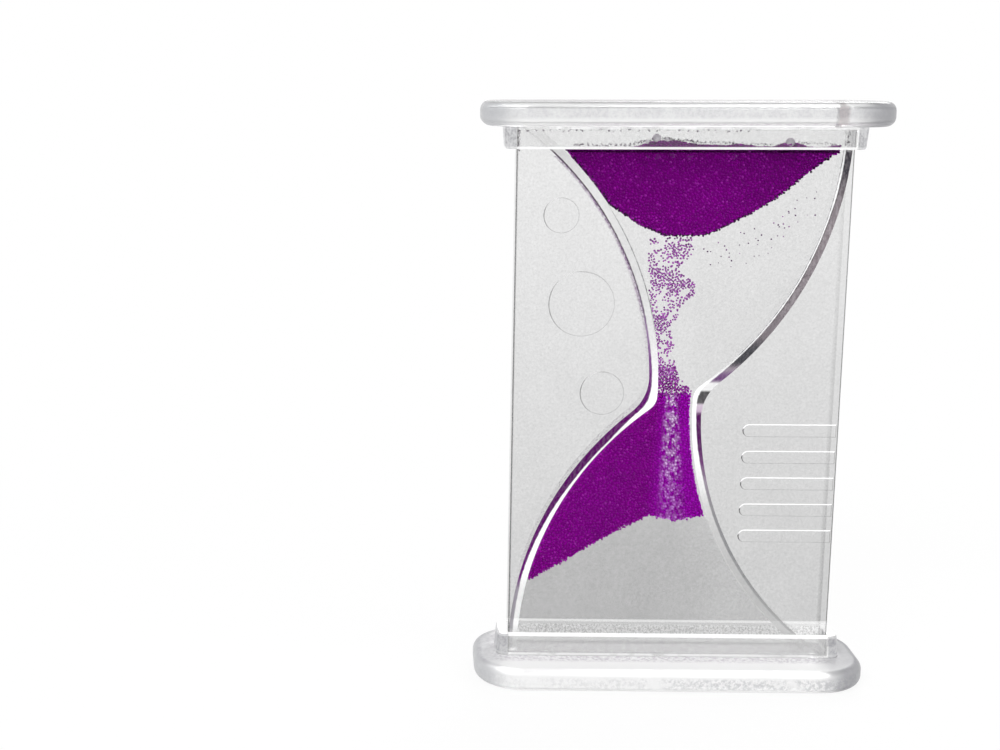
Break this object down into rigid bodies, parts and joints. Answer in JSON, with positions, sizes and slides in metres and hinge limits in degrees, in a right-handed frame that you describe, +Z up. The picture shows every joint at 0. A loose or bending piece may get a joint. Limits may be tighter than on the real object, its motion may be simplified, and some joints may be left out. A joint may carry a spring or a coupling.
{
  "type": "liquid motion timer",
  "caption": "Free-standing clear timer: beads rise through the necked channel of a sealed, liquid-filled slab between two end caps, and it is turned over to start again.",
  "frame": {"origin": "middle of the underside of the lower end cap, on the surface that the timer stands on", "axes": "+Z up along the channel, +X to the right as seen from the front, front panel with the raised decoration towards -Y"},
  "size_m": [0.097, 0.032, 0.1435],
  "materials": {
    "clear_panel": "clear moulded plastic, finely grained beside the chamber and polished over it",
    "clear_wall": "clear moulded plastic, polished",
    "clear_cap": "clear moulded plastic, polished outside and brushed inside",
    "plug": "translucent pale pink plastic, polished",
    "liquid": "clear colourless liquid",
    "heaped_beads": "heaped purple plastic beads",
    "single_beads": "single purple plastic beads"
  },
  "bodies": {
    "timer_body": {"front_panel": "clear_panel", "back_panel": "clear_panel", "left_channel_wall": "clear_wall", "right_channel_wall": "clear_wall", "bottom_end_cap": "clear_cap", "top_end_cap": "clear_cap", "fill_plug": "plug", "carrier_liquid": "liquid", "upper_bead_heap": "heaped_beads", "lower_bead_heap": "heaped_beads"},
    "bead_stream": {"rising_beads": "single_beads"},
    "loose_beads": {"drifting_beads": "single_beads"}
  },
  "joints": [
    {"name": "bead_rise", "type": "slide", "parent": "timer_body", "child": "bead_stream", "axis": [0, 0, 1], "range_m": [0, 0.006]},
    {"name": "bead_drift", "type": "slide", "parent": "timer_body", "child": "loose_beads", "axis": [0, 0, 1], "range_m": [0, 0.0012]}
  ],
  "couplings": [
    {"joint": "bead_drift", "follows": "bead_rise", "ratio": 0.2}
  ]
}
